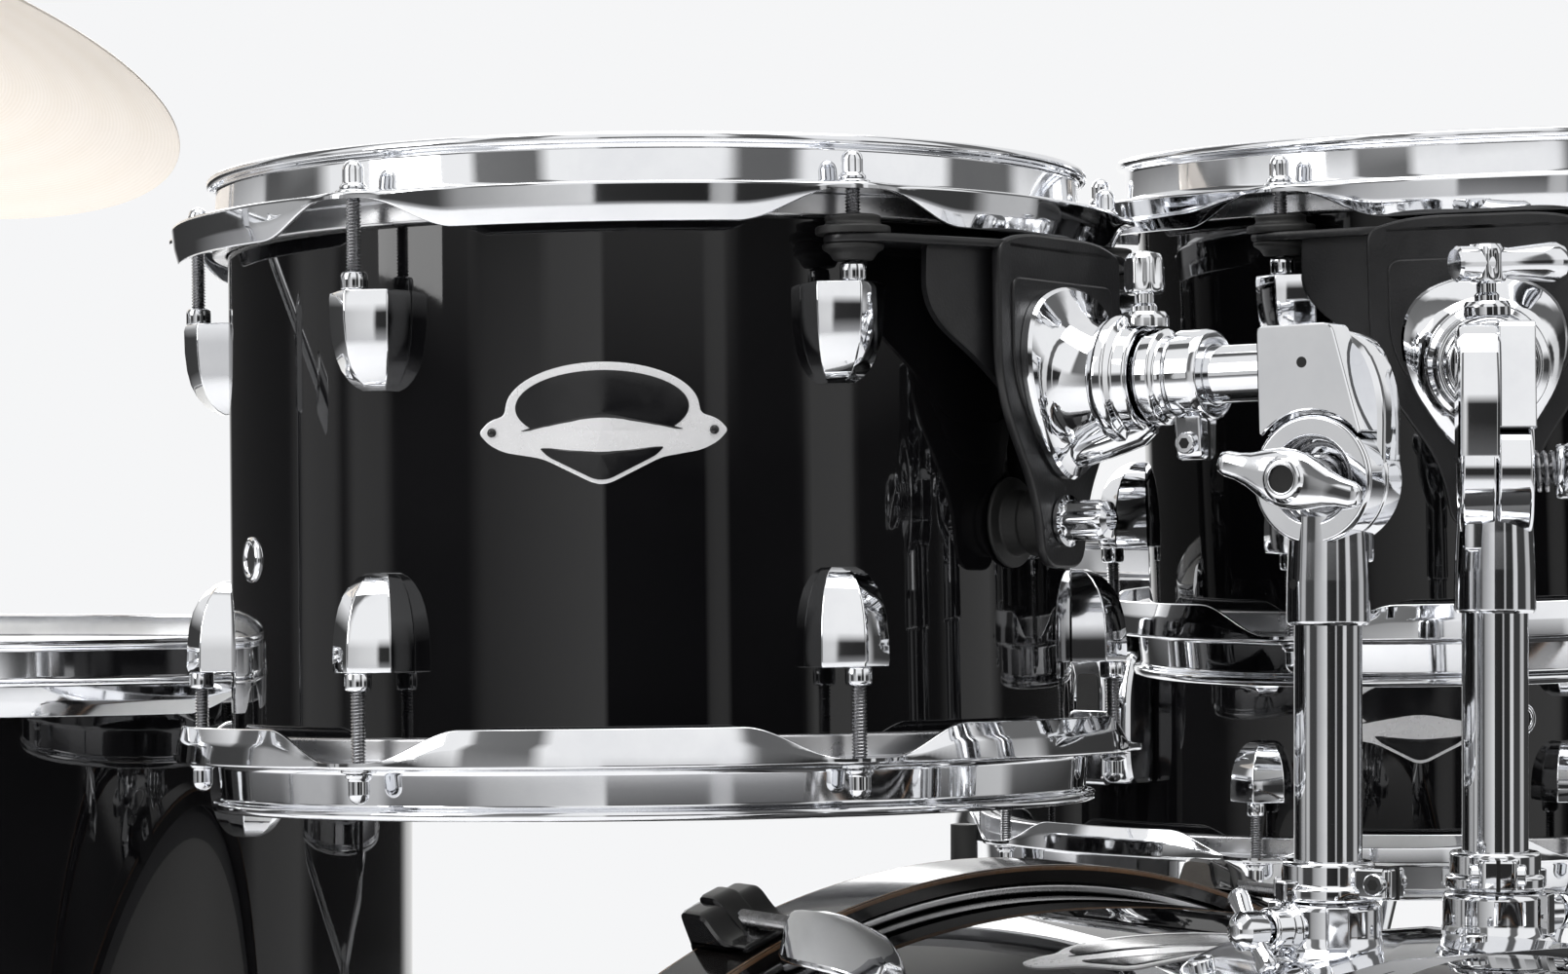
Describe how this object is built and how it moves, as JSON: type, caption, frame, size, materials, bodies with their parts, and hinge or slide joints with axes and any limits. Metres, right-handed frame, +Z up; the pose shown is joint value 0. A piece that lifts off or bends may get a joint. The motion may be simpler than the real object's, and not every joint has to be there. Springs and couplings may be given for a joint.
{
  "type": "acoustic drum kit",
  "caption": "Acoustic drum kit with lacquered shells, a bass drum, rack toms on ratchet holders, a floor tom, a snare on its stand and a crash cymbal on a boom stand.",
  "frame": {"origin": "on the floor under the middle of the two tom posts, which is under the middle of the bass drum", "axes": "+Z up, -Y towards the audience, +Y towards the drummer, +X to the right seen from the audience"},
  "size_m": [1.5024, 1.2635, 0.9886],
  "materials": {
    "black_lacquer": "high gloss lacquer",
    "drum_film": "translucent film",
    "lacquered_hoop": "gloss lacquer, bare ply edge",
    "claw_enamel": "gloss enamel",
    "black_enamel": "satin enamel",
    "rubber": "matte",
    "wire_steel": "bright wire",
    "cymbal_bronze": "lathed, brilliant",
    "chrome": "mirror plated"
  },
  "bodies": {
    "kit": {"bass_shell": "black_lacquer", "bass_batter_head": "drum_film", "bass_batter_hoop": "lacquered_hoop", "bass_front_head": "drum_film", "bass_front_hoop": "lacquered_hoop", "bass_lugs": "chrome", "bass_claws": "claw_enamel", "bass_spur_brackets": "chrome", "post_base": "chrome", "floor_tom_shell": "black_lacquer", "floor_tom_heads": "drum_film", "floor_tom_hoops": "chrome", "floor_tom_lugs": "chrome", "floor_tom_rods": "chrome", "floor_tom_leg_brackets": "chrome", "snare_stand": "chrome", "crash_stand": "chrome"},
    "left_lock": {"left_holder_lock": "chrome"},
    "left_post": {"left_holder_post": "chrome"},
    "left_arm": {"left_holder_arm": "chrome"},
    "left_wing_nut": {"left_holder_wing_nut": "chrome"},
    "left_tom": {"left_tom_shell": "black_lacquer", "left_tom_batter_head": "drum_film", "left_tom_batter_hoop": "chrome", "left_tom_reso_head": "drum_film", "left_tom_reso_hoop": "chrome", "left_tom_lugs": "chrome", "left_tom_rods": "chrome", "left_tom_suspension": "black_enamel", "left_tom_isolators": "rubber", "left_tom_bracket": "chrome"},
    "right_lock": {"right_holder_lock": "chrome"},
    "right_post": {"right_holder_post": "chrome"},
    "right_arm": {"right_holder_arm": "chrome"},
    "right_wing_nut": {"right_holder_wing_nut": "chrome"},
    "right_tom": {"right_tom_shell": "black_lacquer", "right_tom_batter_head": "drum_film", "right_tom_batter_hoop": "chrome", "right_tom_reso_head": "drum_film", "right_tom_reso_hoop": "chrome", "right_tom_lugs": "chrome", "right_tom_rods": "chrome", "right_tom_suspension": "black_enamel", "right_tom_isolators": "rubber", "right_tom_bracket": "chrome"},
    "spur_left": {"bass_spur_left": "chrome"},
    "spur_right": {"bass_spur_right": "chrome"},
    "floor_leg_a": {"floor_tom_leg_a": "chrome"},
    "floor_leg_b": {"floor_tom_leg_b": "chrome"},
    "floor_leg_c": {"floor_tom_leg_c": "chrome"},
    "snare_drum": {"snare_shell": "black_lacquer", "snare_heads": "drum_film", "snare_hoops": "chrome", "snare_lugs": "chrome", "snare_strainer": "chrome", "snare_wires": "wire_steel", "snare_basket": "chrome"},
    "snare_lever": {"snare_lever": "chrome"},
    "crash_boom": {"crash_boom": "chrome"},
    "crash_cymbal": {"crash_cymbal": "cymbal_bronze"}
  },
  "joints": [
    {"name": "left_height", "type": "slide", "parent": "kit", "child": "left_lock", "axis": [0, 0, 1], "range_m": [0, 0.06]},
    {"name": "left_swivel", "type": "hinge", "parent": "left_lock", "child": "left_post", "pos_m": [-0.036, 0, 0.723], "axis": [0, 0, 1], "range_deg": [0, 30]},
    {"name": "left_tilt", "type": "hinge", "parent": "left_post", "child": "left_arm", "pos_m": [-0.036, 0, 0.723], "axis": [-0.9191, -0.3939, 0], "range_deg": [-25, 4]},
    {"name": "left_roll", "type": "hinge", "parent": "left_arm", "child": "left_tom", "pos_m": [-0.1435, 0.25081, 0.75163], "axis": [-0.3938, 0.9188, -0.027], "range_deg": [-8, 8]},
    {"name": "left_nut_spin", "type": "hinge", "parent": "left_post", "child": "left_wing_nut", "pos_m": [-0.036, 0, 0.723], "axis": [-0.9191, -0.3939, 0], "continuous": true},
    {"name": "right_height", "type": "slide", "parent": "kit", "child": "right_lock", "axis": [0, 0, 1], "range_m": [0, 0.06]},
    {"name": "right_swivel", "type": "hinge", "parent": "right_lock", "child": "right_post", "pos_m": [0.036, 0, 0.726], "axis": [0, 0, 1], "range_deg": [-30, 0]},
    {"name": "right_tilt", "type": "hinge", "parent": "right_post", "child": "right_arm", "pos_m": [0.036, 0, 0.726], "axis": [-0.7727, 0.6347, 0], "range_deg": [-25, 4]},
    {"name": "right_roll", "type": "hinge", "parent": "right_arm", "child": "right_tom", "pos_m": [0.18129, 0.17688, 0.76841], "axis": [0.6345, 0.7724, 0.0279], "range_deg": [-8, 8]},
    {"name": "right_nut_spin", "type": "hinge", "parent": "right_post", "child": "right_wing_nut", "pos_m": [0.036, 0, 0.726], "axis": [-0.7727, 0.6347, 0], "continuous": true},
    {"name": "spur_left_fold", "type": "hinge", "parent": "kit", "child": "spur_left", "pos_m": [-0.29371, -0.112, 0.21727], "axis": [-0.9703, 0, -0.2419], "range_deg": [0, 60]},
    {"name": "spur_right_fold", "type": "hinge", "parent": "kit", "child": "spur_right", "pos_m": [0.29371, -0.112, 0.21727], "axis": [-0.9703, 0, 0.2419], "range_deg": [0, 60]},
    {"name": "floor_leg_a_height", "type": "slide", "parent": "kit", "child": "floor_leg_a", "axis": [0, 0, 1], "range_m": [0, 0.06]},
    {"name": "floor_leg_b_height", "type": "slide", "parent": "kit", "child": "floor_leg_b", "axis": [0, 0, 1], "range_m": [0, 0.06]},
    {"name": "floor_leg_c_height", "type": "slide", "parent": "kit", "child": "floor_leg_c", "axis": [0, 0, 1], "range_m": [0, 0.06]},
    {"name": "snare_tilt", "type": "hinge", "parent": "kit", "child": "snare_drum", "pos_m": [0.425, 0.533, 0.437], "axis": [-0.2756, -0.9613, 0], "range_deg": [-8, 8]},
    {"name": "snare_throw", "type": "hinge", "parent": "snare_drum", "child": "snare_lever", "pos_m": [0.22881, 0.48408, 0.5915], "axis": [0.2419, -0.9703, 0], "range_deg": [0, 75]},
    {"name": "boom_tilt", "type": "hinge", "parent": "kit", "child": "crash_boom", "pos_m": [-0.61, 0.6, 0.8], "axis": [-0.4616, 0.8871, 0], "range_deg": [-15, 4]},
    {"name": "cymbal_spin", "type": "hinge", "parent": "crash_boom", "child": "crash_cymbal", "pos_m": [-0.32, 0.75, 0.914], "axis": [0.2753, 0.1209, 0.9537], "continuous": true}
  ]
}
